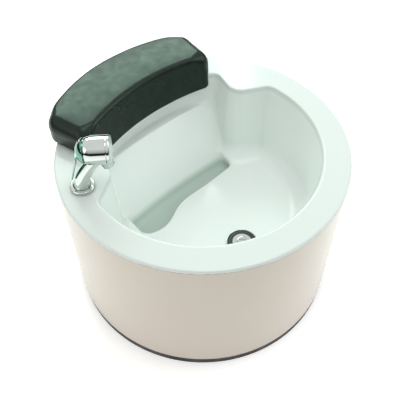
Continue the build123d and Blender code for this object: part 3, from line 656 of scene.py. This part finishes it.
# -------------------------------------------------------------------- materials
class Look:
    """A node material under construction. Textures follow the part's own metres."""

    def __init__(self, name, colour, roughness, metallic=0.0, coat=0.0, coat_rough=0.05, level=0.5,
                 reflection_tint=(1, 1, 1)):
        self.material = bpy.data.materials.new(name)
        self.material.use_nodes = True
        self.tree = self.material.node_tree
        self.shader = self.tree.nodes["Principled BSDF"]
        self.place = self.tree.nodes.new("ShaderNodeTexCoord").outputs["Object"]
        self.colour = colour
        self.rough = roughness
        inputs = self.shader.inputs
        inputs["Base Color"].default_value = (*colour, 1)
        inputs["Roughness"].default_value = roughness
        inputs["Metallic"].default_value = metallic
        inputs["Coat Weight"].default_value = coat
        inputs["Coat Roughness"].default_value = coat_rough
        inputs["Specular IOR Level"].default_value = level
        inputs["Specular Tint"].default_value = (*reflection_tint, 1)
        self.last_bump = None

    def stretched(self, stretch):
        if stretch == (1, 1, 1):
            return self.place
        node = self.tree.nodes.new("ShaderNodeMapping")
        node.inputs["Scale"].default_value = stretch
        self.tree.links.new(self.place, node.inputs["Vector"])
        return node.outputs["Vector"]

    def noise(self, scale, detail=4.0, stretch=(1, 1, 1), twist=0.0):
        node = self.tree.nodes.new("ShaderNodeTexNoise")
        node.inputs["Scale"].default_value = scale
        node.inputs["Detail"].default_value = detail
        node.inputs["Distortion"].default_value = twist
        self.tree.links.new(self.stretched(stretch), node.inputs["Vector"])
        return node.outputs["Fac"]

    def cells(self, scale, feature="F1", stretch=(1, 1, 1)):
        node = self.tree.nodes.new("ShaderNodeTexVoronoi")
        node.feature = feature
        node.inputs["Scale"].default_value = scale
        self.tree.links.new(self.stretched(stretch), node.inputs["Vector"])
        return node.outputs["Distance"]

    def bands(self, scale, direction, twist=0.0, detail=2.0):
        node = self.tree.nodes.new("ShaderNodeTexWave")
        node.bands_direction = direction
        node.inputs["Scale"].default_value = scale
        node.inputs["Distortion"].default_value = twist
        node.inputs["Detail"].default_value = detail
        self.tree.links.new(self.place, node.inputs["Vector"])
        return node.outputs["Fac"]

    def height(self):
        """Height above the part's own origin, in metres."""
        node = self.tree.nodes.new("ShaderNodeSeparateXYZ")
        self.tree.links.new(self.place, node.inputs[0])
        return node.outputs["Z"]

    def spread(self, value, low, high, start=0.3, end=0.7):
        node = self.tree.nodes.new("ShaderNodeMapRange")
        node.inputs["From Min"].default_value = start
        node.inputs["From Max"].default_value = end
        node.inputs["To Min"].default_value = low
        node.inputs["To Max"].default_value = high
        self.tree.links.new(value, node.inputs["Value"])
        return node.outputs["Result"]

    def tint(self, value, other, start=0.3, end=0.7, most=1.0):
        """Move the colour towards another as a value goes from start to end."""
        node = self.tree.nodes.new("ShaderNodeMix")
        node.data_type = "RGBA"
        base = self.shader.inputs["Base Color"]
        self.tree.links.new(self.spread(value, 0.0, most, start, end), node.inputs["Factor"])
        if base.is_linked:
            self.tree.links.new(base.links[0].from_socket, node.inputs["A"])
        else:
            node.inputs["A"].default_value = (*self.colour, 1)
        node.inputs["B"].default_value = (*other, 1)
        self.tree.links.new(node.outputs["Result"], base)
        return self

    def wear(self, value, low, high, start=0.3, end=0.7):
        """Roughness that varies with a value."""
        self.tree.links.new(self.spread(value, low, high, start, end), self.shader.inputs["Roughness"])
        return self

    def bump(self, value, depth, strength=1.0):
        node = self.tree.nodes.new("ShaderNodeBump")
        node.inputs["Strength"].default_value = strength
        node.inputs["Distance"].default_value = depth
        self.tree.links.new(value, node.inputs["Height"])
        if self.last_bump:
            self.tree.links.new(self.last_bump, node.inputs["Normal"])
        self.last_bump = node.outputs["Normal"]
        self.tree.links.new(self.last_bump, self.shader.inputs["Normal"])
        if self.shader.inputs["Coat Weight"].default_value > 0:
            self.tree.links.new(self.last_bump, self.shader.inputs["Coat Normal"])
        return self


def acrylic():
    look = Look("acrylic", (0.79, 0.85, 0.82), 0.12, level=0.3)
    look.tint(look.noise(5.0, 2.0), (0.805, 0.86, 0.84), most=0.8)
    # painted shade: the deck's top is made a little duller, and the trough a deeper, darker green,
    # where shade falls
    look.tint(look.height(), (0.62, 0.68, 0.655), (DECK - 14.0) * MM, (DECK - 4.0) * MM)
    look.tint(look.height(), (0.50, 0.60, 0.54), (FLOOR - 1.0) * MM, (FLOOR - 15.0) * MM)
    look.wear(look.noise(22.0, 5.0), 0.09, 0.16)
    return look.bump(look.noise(9.0, 1.0), 0.0012, 0.12).bump(look.noise(900.0, 2.0), 0.00002, 0.25)


def casing():
    look = Look("casing", (0.535, 0.48, 0.405), 0.27, coat=0.2, coat_rough=0.1)
    look.tint(look.noise(4.0, 2.0), (0.505, 0.455, 0.385), 0.0, 1.0)
    # painted light: a little lighter and warmer towards the floor
    look.tint(look.height(), (0.56, 0.485, 0.415), (DECK - 10.0) * MM, 0.0, 0.5)
    return look.bump(look.noise(900.0, 2.0), 0.00002, 0.2)


def plinth():
    look = Look("plinth", (0.012, 0.012, 0.012), 0.55)
    look.tint(look.noise(60.0, 6.0), (0.03, 0.029, 0.027), 0.5, 0.8)
    look.wear(look.noise(35.0, 5.0), 0.45, 0.7)
    return look.bump(look.cells(900.0), 0.00015, 0.5)


def plywood():
    look = Look("plywood", (0.50, 0.35, 0.20), 0.6)
    look.tint(look.noise(14.0, 8.0, stretch=(0.6, 7, 7), twist=1.2), (0.33, 0.21, 0.11), 0.4, 0.75)
    look.tint(look.bands(110.0, "Z"), (0.26, 0.16, 0.09), 0.55, 0.9, 0.6)
    look.wear(look.noise(90.0, 4.0, stretch=(0.5, 4, 4)), 0.5, 0.75)
    return look.bump(look.noise(160.0, 6.0, stretch=(0.3, 5, 5)), 0.0003, 0.5)


def powder_coat():
    look = Look("powder_coat", (0.085, 0.088, 0.094), 0.42, coat=0.15, coat_rough=0.2)
    look.tint(look.noise(40.0, 5.0), (0.11, 0.112, 0.118))
    look.wear(look.noise(120.0, 4.0), 0.36, 0.5)
    return look.bump(look.noise(1400.0, 2.0), 0.00012, 0.6)


def zinc():
    look = Look("zinc", (0.62, 0.62, 0.58), 0.34, metallic=1.0)
    look.tint(look.noise(260.0, 5.0), (0.52, 0.54, 0.52))
    look.wear(look.noise(300.0, 4.0), 0.26, 0.45)
    return look.bump(look.noise(1500.0, 3.0), 0.00006, 0.5)


def vinyl():
    # the green reflection tint is painted reflection of green surroundings
    look = Look("vinyl", (0.002, 0.0045, 0.0035), 0.30, level=0.36, reflection_tint=(0.74, 1.0, 0.87))
    look.tint(look.noise(38.0, 6.0), (0.006, 0.010, 0.0085))
    look.wear(look.noise(55.0, 6.0), 0.25, 0.38)
    look.bump(look.noise(26.0, 3.0), 0.0016, 0.10)
    return look.bump(look.cells(620.0, "DISTANCE_TO_EDGE"), 0.00012, 0.20)


def nylon():
    look = Look("nylon", (0.018, 0.018, 0.019), 0.42)
    look.tint(look.noise(80.0, 4.0), (0.03, 0.03, 0.031))
    look.wear(look.noise(150.0, 4.0), 0.36, 0.52)
    return look.bump(look.noise(1100.0, 2.0), 0.0001, 0.5)


def chrome():
    look = Look("chrome", (0.66, 0.71, 0.68), 0.045, metallic=1.0)
    look.tint(look.noise(30.0, 4.0), (0.61, 0.66, 0.635))
    look.wear(look.noise(60.0, 6.0), 0.03, 0.085, 0.35, 0.75)
    return look.bump(look.noise(45.0, 2.0), 0.0005, 0.05)


def chrome_painted_green_reflection():
    """Dark green tint on the lever's chrome: painted reflection of green surroundings."""
    look = Look("chrome_painted_green_reflection", (0.20, 0.40, 0.32), 0.05, metallic=1.0)
    look.tint(look.noise(34.0, 3.0), (0.12, 0.27, 0.21))
    look.wear(look.noise(60.0, 6.0), 0.035, 0.09, 0.35, 0.75)
    return look.bump(look.noise(45.0, 2.0), 0.0005, 0.05)


def steel():
    look = Look("steel", (0.56, 0.56, 0.57), 0.28, metallic=1.0)
    look.tint(look.noise(50.0, 4.0), (0.49, 0.49, 0.50))
    look.wear(look.noise(90.0, 6.0, stretch=(1, 1, 22)), 0.2, 0.4)
    return look.bump(look.noise(300.0, 4.0, stretch=(1, 1, 25)), 0.0001, 0.4)


def brass():
    look = Look("brass", (0.66, 0.47, 0.19), 0.28, metallic=1.0)
    look.tint(look.noise(70.0, 6.0), (0.50, 0.34, 0.13), 0.45, 0.75)
    look.wear(look.noise(130.0, 5.0, stretch=(1, 1, 14)), 0.2, 0.42)
    return look.bump(look.bands(700.0, "Z", 0.6), 0.00008, 0.35)


def ceramic():
    look = Look("ceramic", (0.80, 0.80, 0.77), 0.3)
    look.tint(look.noise(90.0, 5.0), (0.72, 0.72, 0.69))
    look.wear(look.noise(200.0, 4.0), 0.22, 0.4)
    return look.bump(look.noise(1200.0, 3.0), 0.00005, 0.4)


def rubber():
    look = Look("rubber", (0.011, 0.016, 0.014), 0.40)
    look.tint(look.noise(70.0, 5.0), (0.024, 0.031, 0.028), 0.4, 0.8)
    look.wear(look.noise(120.0, 4.0), 0.3, 0.5)
    return look.bump(look.noise(1300.0, 2.0), 0.00008, 0.5)


def moulded():
    look = Look("moulded", (0.74, 0.74, 0.71), 0.36)
    look.tint(look.noise(45.0, 5.0), (0.68, 0.68, 0.645))
    look.wear(look.noise(120.0, 4.0), 0.3, 0.46)
    return look.bump(look.noise(1000.0, 2.0), 0.0001, 0.4)


LOOKS = {
    "shell": acrylic(),
    "casing": casing(),
    "plinth": plinth(),
    "board": plywood(),
    "frame": powder_coat(),
    "screws": zinc(),
    "cushion": vinyl(),
    "peg_plastic": nylon(),
    "chrome": chrome(),
    "lever": chrome_painted_green_reflection(),
    "steel": steel(),
    "brass": brass(),
    "ceramic": ceramic(),
    "seal": rubber(),
    "waste_plastic": moulded(),
}


def dress(obj, slot):
    """Give an object the look of a material slot."""
    obj.data.materials.clear()
    obj.data.materials.append(LOOKS[slot].material)


SLOTS = {row["node"]: row["material_slot"] for row in frame["record"]["subparts"]}
for node, obj in frame["nodes"].items():
    dress(obj, SLOTS[node])
# the lever gets chrome with a painted green reflection
dress(frame["nodes"]["tap_lever"], "lever")
dress(basin, "shell")
dress(cushion, "cushion")
